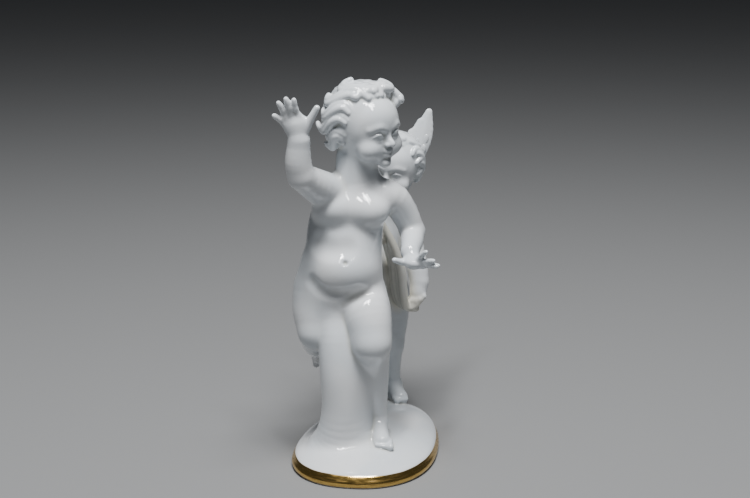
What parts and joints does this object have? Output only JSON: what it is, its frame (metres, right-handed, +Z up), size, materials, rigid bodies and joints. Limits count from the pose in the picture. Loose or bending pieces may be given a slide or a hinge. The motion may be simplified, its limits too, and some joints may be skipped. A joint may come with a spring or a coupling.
{
  "type": "porcelain putti figurine group",
  "caption": "Glazed white porcelain group of a striding child with a raised arm and a winged child behind, on an oval domed base with a gold-painted rim.",
  "frame": {"origin": "middle of the flat underside of the oval base", "axes": "+Z up, -Y towards the narrow front end that the striding child faces, +X to the right of a viewer at that end"},
  "size_m": [0.0644, 0.1014, 0.1522],
  "materials": {
    "porcelain": "clear gloss glaze over white porcelain, gold painted on the rim"
  },
  "bodies": {
    "root": {"putti_group": "porcelain"}
  },
  "joints": []
}
